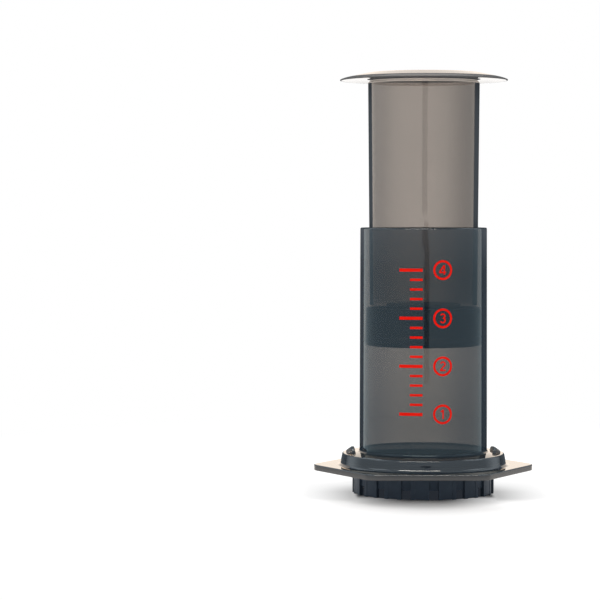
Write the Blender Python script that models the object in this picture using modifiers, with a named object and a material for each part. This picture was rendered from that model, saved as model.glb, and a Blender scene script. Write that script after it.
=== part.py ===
"""Piston coffee press: chamber, plunger, seal, filter cap and paper filter.

Lengths are metres and +Z is up. The press stands on z = 0, on the feet of its filter cap, and every
turned piece shares the Z axis. The plunger is drawn part of the way into the chamber.
"""

import math

import bmesh
import bpy

PRESS_NAME = "piston_coffee_press"

# Fits and shared values
SEAT_GAP = 0.0003
RUNNING_GAP = 0.00005
CUT_OVERRUN = 0.0015
MERGE_DISTANCE = 0.00002
ROUND_STEPS = 56
EDGE_STEPS = 2
ARC_STEPS = 3

# Paper filter
PAPER_CLEARANCE = 0.0013
PAPER_THICKNESS = 0.0002

# Filter cap
CAP_SKIRT_HEIGHT = 0.0045
CAP_FLOOR_THICKNESS = 0.0020
CAP_WALL = 0.00115
CAP_LUG_CLEARANCE = 0.00035
CAP_HEADROOM = 0.0008
CAP_RIM_ROUND = 0.0004
GRIP_COUNT = 16
GRIP_SPAN_SHARE = 0.65
GRIP_TURN_DEG = -5.4
GRIP_DEPTH = 0.0008
GRIP_INSET = 0.0002
GRIP_TOP_DROP = 0.0020
RIB_WIDTH = 0.0020
RIB_PROUD = 0.00015
RIB_FOOT_HEIGHT = 0.0005
HOLE_RADIUS = 0.0009
HOLE_PITCH = 0.0052
HOLE_SIDES = 6
PERFORATED_MARGIN = 0.0026
CAP_LUG_HEIGHT = 0.0020

# Chamber tube
BORE_RADIUS = 0.0298
CHAMBER_RIM_WALL = 0.00175
CHAMBER_FOOT_WALL = 0.00205
CHAMBER_LENGTH = 0.1251
CHAMBER_RIM_ROUND = 0.0006
TUBE_FOOT_FILLET = 0.0012
SPIGOT_LENGTH = 0.0037
SPIGOT_STEP = 0.0002
SPIGOT_EDGE_ROUND = 0.0004

# Chamber flange and collar
FLANGE_MARGIN = 0.00725
FLANGE_SIDES = 6
FLANGE_THICKNESS = 0.0029
FLANGE_CORNER_RADIUS = 0.0090
FLANGE_EDGE_ROUND = 0.0004
COLLAR_CLEARANCE = 0.0032
COLLAR_HEIGHT = 0.0059
COLLAR_WALL = 0.0020
COLLAR_FLARE = 0.0007
COLLAR_EDGE_ROUND = 0.0008
COLLAR_FOOT_FILLET = 0.0010
DECK_RISE = 0.0008

# Raised ears on the collar, one at each side
EAR_WIDTH = 0.0160
EAR_TROUGH = 0.00155
EAR_INNER_SLOPE = 0.0014
EAR_CREST_WIDTH = 0.0017
EAR_OUTER_SLOPE = 0.0021
EAR_HEIGHT = 0.0024
EAR_LIP_HEIGHT = 0.0008

# Bayonet lugs on the spigot and in the cap
LUG_COUNT = 4
LUG_SPAN_DEG = 20.0
LUG_REACH = 0.0011
LUG_ROOT = 0.0005
LUG_HEIGHT = 0.0020
LUG_LIFT = 0.0012
LUG_STOP_WIDTH = 0.0017
LUG_STOP_INSET = 0.0001

# Plunger
PLUNGER_CLEARANCE = 0.00205
PLUNGER_TAPER = 0.0010
PLUNGER_TUBE_LENGTH = 0.1122
PLUNGER_WALL = 0.0020
PLUNGER_FLOOR = 0.0020
SHOULDER_ROUND = 0.0010
GROOVE_DEPTH = 0.0010
GROOVE_HEIGHT = 0.0007
HANDLE_REACH = 0.0140
HANDLE_CROWN = 0.0037
HANDLE_EDGE = 0.0006
HANDLE_DISH = 0.0004
SHOULDER_WIDTH = 0.00625
KNOB_REACH = 0.0030
KNOB_HEIGHT = 0.0060
KNOB_ROUND = 0.0012

# The flange's top from its crest out to its rim: share of the way out, share of the crown's height
HANDLE_TOP_SHARES = (
    (0.00, 1.00),
    (0.14, 0.92),
    (0.35, 0.73),
    (0.70, 0.43),
    (0.86, 0.27),
    (0.95, 0.14),
)

# Seal
SEAL_REST_LIFT = 0.0663
SEAL_HEIGHT = 0.0190
SEAL_FLOOR = 0.0046
SEAL_STEP = 0.00085
SEAL_WAIST_GAP = 0.0010
SEAL_LIP_HEIGHT = 0.0030
SEAL_LIP_LAND = 0.0012
SEAL_FACE_INSET = 0.0026
SEAL_EDGE_ROUND = 0.0010

# Heights of the stack, from the table up
CAP_FLOOR_TOP = CAP_SKIRT_HEIGHT + CAP_FLOOR_THICKNESS
PAPER_BOTTOM = CAP_FLOOR_TOP + SEAT_GAP
PAPER_TOP = PAPER_BOTTOM + PAPER_THICKNESS
CHAMBER_BOTTOM = PAPER_TOP + SEAT_GAP
CHAMBER_TOP = CHAMBER_BOTTOM + CHAMBER_LENGTH
FLANGE_BOTTOM = CHAMBER_BOTTOM + SPIGOT_LENGTH
FLANGE_TOP = FLANGE_BOTTOM + FLANGE_THICKNESS
DECK_EDGE = FLANGE_TOP + COLLAR_HEIGHT
DECK_ROOT = DECK_EDGE + DECK_RISE
RECESS_TOP = DECK_EDGE - COLLAR_WALL
LUG_BOTTOM = CHAMBER_BOTTOM + LUG_LIFT
LUG_TOP = LUG_BOTTOM + LUG_HEIGHT
CAP_LUG_BOTTOM = LUG_TOP + SEAT_GAP
CAP_LUG_TOP = CAP_LUG_BOTTOM + CAP_LUG_HEIGHT
CAP_TOP = RECESS_TOP - CAP_HEADROOM
SEAL_BOTTOM = CHAMBER_BOTTOM + SEAL_REST_LIFT
SEAL_TOP = SEAL_BOTTOM + SEAL_HEIGHT
SHOULDER_BOTTOM = SEAL_TOP + SEAT_GAP
KNOB_BOTTOM = SEAL_BOTTOM + SEAL_FLOOR + SEAT_GAP
KNOB_TOP = KNOB_BOTTOM + KNOB_HEIGHT
SHOULDER_TOP = SHOULDER_BOTTOM + PLUNGER_TUBE_LENGTH
HANDLE_UNDERSIDE = SHOULDER_TOP + GROOVE_HEIGHT

# Radii that follow from the sizes above
CHAMBER_RIM_RADIUS = BORE_RADIUS + CHAMBER_RIM_WALL
CHAMBER_FOOT_RADIUS = BORE_RADIUS + CHAMBER_FOOT_WALL
SPIGOT_RADIUS = CHAMBER_FOOT_RADIUS - SPIGOT_STEP
LUG_RADIUS = CHAMBER_FOOT_RADIUS + LUG_REACH
CAP_BORE_RADIUS = LUG_RADIUS + CAP_LUG_CLEARANCE
CAP_WALL_RADIUS = CAP_BORE_RADIUS + CAP_WALL
GRIP_RADIUS = CAP_WALL_RADIUS + GRIP_DEPTH
RIB_RADIUS = GRIP_RADIUS + RIB_PROUD
CAP_LUG_RADIUS = CHAMBER_FOOT_RADIUS + CAP_LUG_CLEARANCE
PAPER_RADIUS = CAP_BORE_RADIUS - PAPER_CLEARANCE
PERFORATED_RADIUS = BORE_RADIUS - PERFORATED_MARGIN
RECESS_RADIUS = RIB_RADIUS + COLLAR_CLEARANCE
COLLAR_RADIUS = RECESS_RADIUS + COLLAR_WALL
COLLAR_FOOT_RADIUS = COLLAR_RADIUS + COLLAR_FLARE
EAR_INNER_RADIUS = CHAMBER_FOOT_RADIUS + EAR_TROUGH
EAR_CREST_RADIUS = EAR_INNER_RADIUS + EAR_INNER_SLOPE
EAR_OUTER_RADIUS = EAR_CREST_RADIUS + EAR_CREST_WIDTH + EAR_OUTER_SLOPE
PLUNGER_TOP_RADIUS = BORE_RADIUS - PLUNGER_CLEARANCE
PLUNGER_FOOT_RADIUS = PLUNGER_TOP_RADIUS - PLUNGER_TAPER
NECK_RADIUS = PLUNGER_FOOT_RADIUS - SHOULDER_WIDTH
KNOB_RADIUS = NECK_RADIUS + KNOB_REACH
HANDLE_RADIUS = PLUNGER_TOP_RADIUS + HANDLE_REACH
SEAL_TOP_RADIUS = PLUNGER_FOOT_RADIUS + SEAL_STEP
SEAL_WAIST_RADIUS = BORE_RADIUS - SEAL_WAIST_GAP
SEAL_FACE_RADIUS = BORE_RADIUS - SEAL_FACE_INSET


def clear_scene():
    """Start from an empty file."""
    for item in list(bpy.data.objects):
        bpy.data.objects.remove(item, do_unlink=True)


def make_collection(name):
    group = bpy.data.collections.new(name)
    bpy.context.scene.collection.children.link(group)
    return group


def make_material(name, color, roughness):
    """A plain plastic, rubber or paper look."""
    material = bpy.data.materials.new(name)
    material.use_nodes = True
    shader = material.node_tree.nodes["Principled BSDF"]
    shader.inputs["Base Color"].default_value = (*color, 1.0)
    shader.inputs["Roughness"].default_value = roughness
    shader.inputs["Metallic"].default_value = 0.0
    material.diffuse_color = (*color, 1.0)
    return material


def add_object(name, mesh, group):
    item = bpy.data.objects.new(name, mesh)
    group.objects.link(item)
    return item


def dress(item, material):
    """Give a finished piece its material and smooth round faces."""
    item.data.materials.append(material)
    item.data.shade_smooth()
    item.data.set_sharp_from_angle(angle=math.radians(35))


def turned(name, profile, group, closed):
    """Turn a profile of (radius, height) points about the Z axis with a Screw modifier."""
    mesh = bpy.data.meshes.new(name)
    points = [(radius, 0.0, height) for radius, height in profile]
    edges = [(index, index + 1) for index in range(len(points) - 1)]
    if closed:
        edges.append((len(points) - 1, 0))
    mesh.from_pydata(points, edges, [])
    item = add_object(name, mesh, group)
    screw = item.modifiers.new("turn", "SCREW")
    screw.axis = "Z"
    screw.angle = math.tau
    screw.steps = ROUND_STEPS
    screw.render_steps = ROUND_STEPS
    screw.use_merge_vertices = True
    screw.merge_threshold = MERGE_DISTANCE
    return item


def extruded(name, outlines, bottom, height, group):
    """Fill flat outlines of (x, y) points and extrude them up from the height bottom."""
    curve = bpy.data.curves.new(name, "CURVE")
    curve.dimensions = "2D"
    curve.fill_mode = "BOTH"
    curve.extrude = height / 2
    for outline in outlines:
        spline = curve.splines.new("POLY")
        spline.points.add(len(outline) - 1)
        for point, (x, y) in zip(spline.points, outline):
            point.co = (x, y, 0.0, 1.0)
        spline.use_cyclic_u = True
    flat = add_object(name + "_outline", curve, group)
    flat.location.z = bottom + height / 2
    bpy.context.view_layer.update()
    evaluated = flat.evaluated_get(bpy.context.evaluated_depsgraph_get())
    mesh = bpy.data.meshes.new_from_object(evaluated)
    mesh.name = name
    shape = bmesh.new()
    shape.from_mesh(mesh)
    bmesh.ops.remove_doubles(shape, verts=shape.verts, dist=MERGE_DISTANCE)
    bmesh.ops.recalc_face_normals(shape, faces=shape.faces)
    shape.to_mesh(mesh)
    shape.free()
    item = add_object(name, mesh, group)
    item.matrix_world = flat.matrix_world.copy()
    bpy.data.objects.remove(flat, do_unlink=True)
    return item


def combine(item, tool, operation):
    """Add, cut or keep the overlap with another solid, which is then only a guide."""
    modifier = item.modifiers.new(tool.name, "BOOLEAN")
    modifier.operation = operation
    modifier.object = tool
    modifier.solver = "EXACT"
    tool.hide_render = True
    tool.display_type = "WIRE"


def round_edges(item, width):
    """Round the sharp edges of an extruded outline."""
    bevel = item.modifiers.new("round", "BEVEL")
    bevel.width = width
    bevel.segments = 2
    bevel.limit_method = "ANGLE"
    bevel.angle_limit = math.radians(50)


def arc(center, radius, start_deg, end_deg, steps=ARC_STEPS):
    """Points on an arc from one angle to another, both ends included."""
    points = []
    for index in range(steps + 1):
        angle = math.radians(start_deg + (end_deg - start_deg) * index / steps)
        points.append((center[0] + radius * math.cos(angle), center[1] + radius * math.sin(angle)))
    return points


def sector(inner, outer, middle_deg, span_deg, steps=ARC_STEPS):
    """Outline of a piece of a ring, centred on one direction."""
    start = middle_deg - span_deg / 2
    end = middle_deg + span_deg / 2
    origin = (0.0, 0.0)
    return arc(origin, outer, start, end, steps) + arc(origin, inner, end, start, steps)


def width_to_degrees(width, radius):
    """Angle that a width takes up round a circle."""
    return math.degrees(width / radius)


def flange_outline():
    """Six-sided outline with round corners, two of them on the X axis."""
    apothem = COLLAR_FOOT_RADIUS + FLANGE_MARGIN
    half_turn = 180.0 / FLANGE_SIDES
    corner_distance = (apothem - FLANGE_CORNER_RADIUS) / math.cos(math.radians(half_turn))
    outline = []
    for index in range(FLANGE_SIDES):
        direction = index * 360.0 / FLANGE_SIDES
        angle = math.radians(direction)
        center = (corner_distance * math.cos(angle), corner_distance * math.sin(angle))
        start = direction - half_turn
        outline += arc(center, FLANGE_CORNER_RADIUS, start, direction + half_turn, 2 * ARC_STEPS)
    return outline


def circle_outline(radius):
    return arc((0.0, 0.0), radius, 0.0, 360.0 - 360.0 / ROUND_STEPS, ROUND_STEPS - 1)


def chamber_profile():
    """Tube, sloping deck, collar and spigot, with the space under the deck still filled."""
    rim_height = CHAMBER_TOP - CHAMBER_RIM_ROUND
    outer_center = (CHAMBER_RIM_RADIUS - CHAMBER_RIM_ROUND, rim_height)
    inner_center = (BORE_RADIUS + CHAMBER_RIM_ROUND, rim_height)
    rim = arc(outer_center, CHAMBER_RIM_ROUND, 90, 0, EDGE_STEPS)
    fillet_center = (CHAMBER_FOOT_RADIUS + TUBE_FOOT_FILLET, DECK_ROOT + TUBE_FOOT_FILLET)
    tube_foot = arc(fillet_center, TUBE_FOOT_FILLET, 180, 270)
    edge_center = (COLLAR_RADIUS - COLLAR_EDGE_ROUND, DECK_EDGE - COLLAR_EDGE_ROUND)
    deck_edge = arc(edge_center, COLLAR_EDGE_ROUND, 80, 0, EDGE_STEPS)
    foot_center = (COLLAR_FOOT_RADIUS + COLLAR_FOOT_FILLET, FLANGE_TOP + COLLAR_FOOT_FILLET)
    collar_foot = arc(foot_center, COLLAR_FOOT_FILLET, 180, 270, EDGE_STEPS)
    inside_flange = FLANGE_BOTTOM + FLANGE_THICKNESS / 2
    spigot_center = (SPIGOT_RADIUS - SPIGOT_EDGE_ROUND, CHAMBER_BOTTOM + SPIGOT_EDGE_ROUND)
    profile = rim + tube_foot + deck_edge + collar_foot
    profile.append((collar_foot[-1][0], inside_flange))
    profile.append((SPIGOT_RADIUS, inside_flange))
    profile += arc(spigot_center, SPIGOT_EDGE_ROUND, 0, -90, 1)
    profile.append((BORE_RADIUS, CHAMBER_BOTTOM))
    profile += arc(inner_center, CHAMBER_RIM_ROUND, 180, 90, EDGE_STEPS)
    return profile


def recess_profile():
    """Ring-shaped space under the collar, which the cap's wall rises into."""
    below = FLANGE_BOTTOM - CUT_OVERRUN
    foot_radius = COLLAR_FOOT_RADIUS - COLLAR_WALL
    return [
        (RECESS_RADIUS, RECESS_TOP),
        (foot_radius, FLANGE_TOP),
        (foot_radius, below),
        (CHAMBER_FOOT_RADIUS, below),
        (CHAMBER_FOOT_RADIUS, RECESS_TOP),
    ]


def ear_profile():
    """Low ridge that stands on the deck, steep inside and sloping outside."""
    root = DECK_EDGE - COLLAR_WALL / 2
    crest = DECK_ROOT + EAR_HEIGHT - EAR_LIP_HEIGHT
    lip = DECK_EDGE + EAR_LIP_HEIGHT
    return [
        (EAR_CREST_RADIUS, crest),
        (EAR_CREST_RADIUS + EAR_CREST_WIDTH, crest),
        (EAR_OUTER_RADIUS, lip),
        (EAR_OUTER_RADIUS, root),
        (EAR_INNER_RADIUS, root),
        (EAR_INNER_RADIUS, DECK_ROOT),
    ]


def lug_directions(offset_deg):
    """Directions of the bayonet lugs, turned by an offset."""
    return [offset_deg + index * 360.0 / LUG_COUNT for index in range(LUG_COUNT)]


def make_chamber(parts, tools):
    chamber = turned("chamber", chamber_profile(), parts, closed=True)

    inside_wall = BORE_RADIUS + CHAMBER_FOOT_WALL / 2
    plate_outlines = [flange_outline(), circle_outline(inside_wall)]
    plate = extruded("flange_plate", plate_outlines, FLANGE_BOTTOM, FLANGE_THICKNESS, tools)
    round_edges(plate, FLANGE_EDGE_ROUND)
    combine(chamber, plate, "UNION")

    ears = turned("ear_ring", ear_profile(), tools, closed=True)
    reach = EAR_OUTER_RADIUS + CUT_OVERRUN
    half_width = EAR_WIDTH / 2
    slice_outline = [(-reach, -half_width), (reach, -half_width), (reach, half_width), (-reach, half_width)]
    slice_bottom = DECK_EDGE - COLLAR_WALL
    slice_height = COLLAR_WALL + DECK_RISE + EAR_HEIGHT + CUT_OVERRUN
    ear_slice = extruded("ear_slice", [slice_outline], slice_bottom, slice_height, tools)
    combine(ears, ear_slice, "INTERSECT")
    combine(chamber, ears, "UNION")

    recess = turned("recess", recess_profile(), tools, closed=True)
    combine(chamber, recess, "DIFFERENCE")

    root_radius = SPIGOT_RADIUS - LUG_ROOT
    lug_outlines = [sector(root_radius, LUG_RADIUS, turn, LUG_SPAN_DEG) for turn in lug_directions(0.0)]
    lugs = extruded("spigot_lugs", lug_outlines, LUG_BOTTOM, LUG_HEIGHT, tools)
    combine(chamber, lugs, "UNION")

    stop_span = width_to_degrees(LUG_STOP_WIDTH, LUG_RADIUS)
    stop_offset = LUG_SPAN_DEG / 2 + width_to_degrees(SEAT_GAP, LUG_RADIUS) + stop_span / 2
    stop_radius = LUG_RADIUS - LUG_STOP_INSET
    stop_turns = lug_directions(stop_offset)
    stop_outlines = [sector(root_radius, stop_radius, turn, stop_span, 1) for turn in stop_turns]
    stops = extruded("lug_stops", stop_outlines, LUG_BOTTOM, CAP_LUG_TOP - LUG_BOTTOM, tools)
    combine(chamber, stops, "UNION")
    return chamber


def hole_places():
    """Places of the cap's holes on a triangular grid, as far out as the perforated disc."""
    reach = math.ceil(PERFORATED_RADIUS / HOLE_PITCH) + 1
    row_height = HOLE_PITCH * math.sin(math.radians(60))
    places = []
    for row in range(-reach, reach + 1):
        for column in range(-2 * reach, 2 * reach + 1):
            place = ((column + row / 2) * HOLE_PITCH, row * row_height)
            if math.hypot(*place) <= PERFORATED_RADIUS:
                places.append(place)
    return places


def make_cap(parts, tools):
    profile = [(0.0, CAP_FLOOR_TOP), (CAP_BORE_RADIUS, CAP_FLOOR_TOP), (CAP_BORE_RADIUS, CAP_TOP)]
    rim_center = (CAP_WALL_RADIUS - CAP_RIM_ROUND, CAP_TOP - CAP_RIM_ROUND)
    profile += arc(rim_center, CAP_RIM_ROUND, 90, 0, 1)
    profile += [(CAP_WALL_RADIUS, CAP_SKIRT_HEIGHT), (0.0, CAP_SKIRT_HEIGHT)]
    cap = turned("filter_cap", profile, parts, closed=False)

    pitch = 360.0 / GRIP_COUNT
    grip_span = pitch * GRIP_SPAN_SHARE
    rib_span = width_to_degrees(RIB_WIDTH, GRIP_RADIUS)
    grip_top = CAP_TOP - GRIP_TOP_DROP
    rib_root = CAP_BORE_RADIUS + GRIP_INSET
    panel_root = rib_root + RIB_PROUD
    panels = []
    ribs = []
    for index in range(GRIP_COUNT):
        middle = -90.0 + GRIP_TURN_DEG + index * pitch
        panels.append(sector(panel_root, GRIP_RADIUS, middle, grip_span - rib_span))
        for side in (-1, 1):
            rib_middle = middle + side * (grip_span - rib_span) / 2
            ribs.append(sector(rib_root, RIB_RADIUS, rib_middle, rib_span, 1))
    grips = extruded("grip_panels", panels, RIB_FOOT_HEIGHT, grip_top - RIB_FOOT_HEIGHT, tools)
    combine(cap, grips, "UNION")
    feet = extruded("grip_ribs", ribs, 0.0, grip_top + RIB_PROUD, tools)
    combine(cap, feet, "UNION")

    lug_outer = CAP_BORE_RADIUS + CAP_WALL / 2
    lug_outlines = [sector(CAP_LUG_RADIUS, lug_outer, turn, LUG_SPAN_DEG) for turn in lug_directions(0.0)]
    lugs = extruded("cap_lugs", lug_outlines, CAP_LUG_BOTTOM, CAP_LUG_HEIGHT, tools)
    combine(cap, lugs, "UNION")

    last_side = 360.0 - 360.0 / HOLE_SIDES
    hole_outlines = [arc(place, HOLE_RADIUS, 0.0, last_side, HOLE_SIDES - 1) for place in hole_places()]
    drill_height = CAP_FLOOR_THICKNESS + 2 * CUT_OVERRUN
    drill = extruded("cap_holes", hole_outlines, CAP_SKIRT_HEIGHT - CUT_OVERRUN, drill_height, tools)
    combine(cap, drill, "DIFFERENCE")
    return cap


def make_paper(parts):
    """The paper disc, which lies on the cap's floor under the chamber's end."""
    mesh = bpy.data.meshes.new("paper_filter")
    shape = bmesh.new()
    bmesh.ops.create_cone(
        shape,
        cap_ends=True,
        segments=ROUND_STEPS,
        radius1=PAPER_RADIUS,
        radius2=PAPER_RADIUS,
        depth=PAPER_THICKNESS,
    )
    shape.to_mesh(mesh)
    shape.free()
    paper = add_object("paper_filter", mesh, parts)
    paper.location.z = PAPER_BOTTOM + PAPER_THICKNESS / 2
    return paper


def make_seal(parts):
    """Rubber cup that snaps over the plunger's knob, with one lip round its lower edge."""
    cavity_radius = KNOB_RADIUS + SEAT_GAP
    mouth_radius = NECK_RADIUS + SEAT_GAP
    cavity_floor = SEAL_BOTTOM + SEAL_FLOOR
    cavity_top = KNOB_TOP + SEAT_GAP
    lip_radius = BORE_RADIUS - RUNNING_GAP
    lip_bottom = SEAL_BOTTOM + SEAL_LIP_HEIGHT
    lip_top = lip_bottom + SEAL_LIP_LAND
    edge_center = (SEAL_TOP_RADIUS - SEAL_EDGE_ROUND, SEAL_TOP - SEAL_EDGE_ROUND)
    top_edge = arc(edge_center, SEAL_EDGE_ROUND, 90, 10, EDGE_STEPS)
    profile = [
        (0.0, cavity_floor),
        (cavity_radius, cavity_floor),
        (cavity_radius, cavity_top),
        (mouth_radius, cavity_top),
        (mouth_radius, SEAL_TOP),
    ]
    profile += top_edge
    profile += [
        (SEAL_WAIST_RADIUS, lip_top + SEAL_LIP_LAND),
        (lip_radius, lip_top),
        (lip_radius, lip_bottom),
        (SEAL_FACE_RADIUS, SEAL_BOTTOM),
        (0.0, SEAL_BOTTOM),
    ]
    return turned("seal", profile, parts, closed=False)


def handle_profile():
    """Drooping round flange, from the mouth of the plunger's hollow out to its rim and back."""
    mouth_radius = PLUNGER_TOP_RADIUS - PLUNGER_WALL
    crest = HANDLE_UNDERSIDE + HANDLE_CROWN
    mouth_round = PLUNGER_WALL / 2
    profile = arc((mouth_radius + mouth_round, crest - mouth_round), mouth_round, 180, 110, EDGE_STEPS)
    crest_radius = mouth_radius + mouth_round
    for out_share, height_share in HANDLE_TOP_SHARES:
        radius = crest_radius + (HANDLE_RADIUS - crest_radius) * out_share
        profile.append((radius, HANDLE_UNDERSIDE + HANDLE_CROWN * height_share))
    profile.append((HANDLE_RADIUS, HANDLE_UNDERSIDE))
    profile.append((HANDLE_RADIUS - HANDLE_EDGE / 2, HANDLE_UNDERSIDE - HANDLE_EDGE / 2))
    profile.append((HANDLE_RADIUS - 2 * HANDLE_EDGE, HANDLE_UNDERSIDE - HANDLE_EDGE / 2))
    groove_radius = PLUNGER_TOP_RADIUS - GROOVE_DEPTH
    profile.append((groove_radius + GROOVE_HEIGHT, HANDLE_UNDERSIDE + HANDLE_DISH))
    profile.append((groove_radius, HANDLE_UNDERSIDE))
    return profile


def make_plunger(parts):
    """Hollow tube, open at the top, with a flange to push on and a knob that holds the seal."""
    neck_bore = NECK_RADIUS - PLUNGER_WALL
    tube_bore = PLUNGER_FOOT_RADIUS - PLUNGER_WALL
    groove_radius = PLUNGER_TOP_RADIUS - GROOVE_DEPTH
    shoulder_center = (PLUNGER_TOP_RADIUS - SHOULDER_ROUND, SHOULDER_TOP - SHOULDER_ROUND)
    profile = [
        (0.0, KNOB_BOTTOM + PLUNGER_FLOOR),
        (neck_bore, KNOB_BOTTOM + PLUNGER_FLOOR),
        (neck_bore, SHOULDER_BOTTOM + PLUNGER_FLOOR),
        (tube_bore, SHOULDER_BOTTOM + 2 * PLUNGER_FLOOR),
    ]
    profile += handle_profile()
    profile.append((groove_radius, SHOULDER_TOP))
    profile += arc(shoulder_center, SHOULDER_ROUND, 60, 0, EDGE_STEPS)
    profile += [
        (PLUNGER_FOOT_RADIUS, SHOULDER_BOTTOM),
        (NECK_RADIUS, SHOULDER_BOTTOM),
        (NECK_RADIUS, KNOB_TOP),
        (KNOB_RADIUS, KNOB_TOP),
    ]
    profile += arc((KNOB_RADIUS - KNOB_ROUND, KNOB_BOTTOM + KNOB_ROUND), KNOB_ROUND, 0, -90, EDGE_STEPS)
    profile.append((0.0, KNOB_BOTTOM))
    return turned("plunger", profile, parts, closed=False)


def build_press():
    clear_scene()
    parts = make_collection(PRESS_NAME)
    tools = make_collection("cutters")
    smoke_plastic = make_material("smoke_plastic", (0.115, 0.105, 0.095), 0.12)
    black_plastic = make_material("black_plastic", (0.012, 0.014, 0.018), 0.38)
    rubber = make_material("rubber", (0.022, 0.024, 0.027), 0.6)
    paper_white = make_material("paper_white", (0.82, 0.80, 0.76), 0.9)
    dress(make_chamber(parts, tools), smoke_plastic)
    dress(make_plunger(parts), smoke_plastic)
    dress(make_seal(parts), rubber)
    dress(make_cap(parts, tools), black_plastic)
    dress(make_paper(parts), paper_white)


build_press()
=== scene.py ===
"""Looks of a piston coffee press: clear smoke plastic, dark rubber, a satin black cap and red level marks."""

import math

import bmesh
import bpy
import numpy as np
from mathutils import Matrix, Vector


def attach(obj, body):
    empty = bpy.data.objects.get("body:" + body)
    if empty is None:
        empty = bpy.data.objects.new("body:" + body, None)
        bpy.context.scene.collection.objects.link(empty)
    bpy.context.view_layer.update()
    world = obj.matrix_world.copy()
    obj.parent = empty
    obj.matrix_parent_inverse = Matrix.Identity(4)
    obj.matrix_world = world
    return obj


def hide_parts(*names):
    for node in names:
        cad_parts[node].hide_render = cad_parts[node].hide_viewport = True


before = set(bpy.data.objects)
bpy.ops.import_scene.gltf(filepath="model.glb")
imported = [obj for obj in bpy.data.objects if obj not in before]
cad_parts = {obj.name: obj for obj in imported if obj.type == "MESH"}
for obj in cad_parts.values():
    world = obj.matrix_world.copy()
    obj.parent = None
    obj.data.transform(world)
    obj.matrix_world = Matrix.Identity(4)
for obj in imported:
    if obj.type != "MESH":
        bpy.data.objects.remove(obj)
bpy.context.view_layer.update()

MM = 0.001
SHARP_DEG = 38
BEVEL_OVER_DEG = 40

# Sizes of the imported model, in millimetres. A profile is pairs of radius and height.
BORE_R = 29.8
RIM_R = 31.55
RIM_Z = 132.4
RIM_ROUND = 0.6
WALL_TOP_Z = 131.6
FOOT_R = 31.85
TUBE_FOOT_Z = 21.8
TUBE_FILLET = 1.2
CHAMBER_Z = 7.3

DECK_ROOT_Z = 20.6
DECK_OUTER_Z = 19.788
DECK_SLOPE_IN_R = 33.05
DECK_SLOPE_OUT_R = 39.94
EAR_REFERENCE_R = 36.5
EAR_STEPS_Y = (6.9, 7.45, 7.8, 8.0, 8.08)
EAR_STEPS_LIFT = (1.0, 0.97, 0.86, 0.62, 0.0)
EAR_CLEAR_Y = 8.8
EAR_BLEND_DEG = 27
EAR_PROFILE = (
    (34.70, 20.42), (34.86, 20.50), (34.94, 20.66), (35.14, 21.72), (35.24, 21.98), (35.44, 22.15),
    (35.66, 22.20), (36.20, 22.20), (36.48, 22.13), (36.72, 21.98), (38.30, 20.83), (38.50, 20.66),
    (38.58, 20.50), (38.60, 20.30),
)
EAR_CREST_R = (35.2, 36.6)
# The sine, from the X axis, where the sides' pale fillets end and the painted shade in front and behind
# begins
SIDES_END_SINE = 0.45

# Centre and radius of the rounds at the collar's top and foot
COLLAR_TOP = ((39.8, 19.0), 0.8)
COLLAR_FOOT = ((43.1, 15.9), 2.0)

FLANGE_Z = 11.0
FLANGE_TOP_Z = 13.9
FLANGE_APOTHEM = 48.55
FLANGE_CORNER_R = 9.0

RECESS_IN_R = 31.85
RECESS = (
    (39.8, FLANGE_Z), (39.5, FLANGE_Z), (39.36, 11.06), (39.3, 11.2), (39.3, 13.9), (38.63, 17.6),
    (38.5, 17.74), (38.3, 17.8), (32.2, 17.8), (31.95, 17.74), (RECESS_IN_R, 17.6),
)

SPIGOT_R = 31.65
LUG_R = 32.95
LUGS_DEG = (0.0, 90.0, 180.0, 270.0)
LUG_HALF_DEG = 10.0
LUG_WALL_DEG = 0.12
STOP_R = 32.85
STOP_AFTER_LUG_DEG = 12.0
STOP_HALF_DEG = 1.42
STOP_SHARE_OF_LUG = 0.92

GRIPS = 16
GRIP_FIRST_DEG = -95.4
GRIP_SPAN_DEG = 11.5
RIB_FROM_GRIP_DEG = 5.69
RIB_SPAN_DEG = 3.25
CAP_WALL = (
    (33.3, 6.3), (33.3, 16.8), (33.36, 16.94), (33.5, 17.0), (34.05, 17.0), (34.3, 16.9),
    (34.42, 16.65), (34.45, 16.4), (34.45, 4.7), (34.38, 4.55), (34.2, 4.5), (33.5, 4.5),
)
CAP_FLOOR_R = 33.7
CAP_FLOOR_MIDDLE_Z = 5.5
CAP_FLOOR_HALF = 1.0
CAP_FLOOR_EDGE = 0.12
HOLE_R = 0.9
HOLE_PITCH = 5.2
HOLE_FIELD_R = 27.2

PAPER_R = 32.0
PAPER_TOP_Z = 6.96
PAPER_UNDER_Z = 6.83
PAPER_WAVE = 0.02


# Meshes

def ring(radius, height, angles):
    """Points round the Z axis at the given angles, in metres."""
    radius = np.broadcast_to(radius, angles.shape) * MM
    height = np.broadcast_to(height, angles.shape) * MM
    return np.stack([radius * np.cos(angles), radius * np.sin(angles), height], axis=1)


def bow(center, radii, start_deg, end_deg, steps=14):
    """Points on part of an oval, both ends included."""
    turns = np.radians(np.linspace(start_deg, end_deg, steps + 1))
    return [(center[0] + radii[0] * math.cos(t), center[1] + radii[1] * math.sin(t)) for t in turns]


def arc(center, radius, start_deg, end_deg, steps):
    return bow(center, (radius, radius), start_deg, end_deg, steps)


def placed(name, data):
    """A new object in the scene, at the origin."""
    made = bpy.data.objects.new(name, data)
    bpy.context.scene.collection.objects.link(made)
    return made


def finished(name, shape):
    """The mesh of a bmesh, which is freed."""
    mesh = bpy.data.meshes.new(name)
    shape.to_mesh(mesh)
    shape.free()
    return mesh


def smooth(mesh):
    """Shade a mesh smooth, apart from the edges where it turns sharply."""
    mesh.shade_smooth()
    mesh.set_sharp_from_angle(angle=math.radians(SHARP_DEG))


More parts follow.
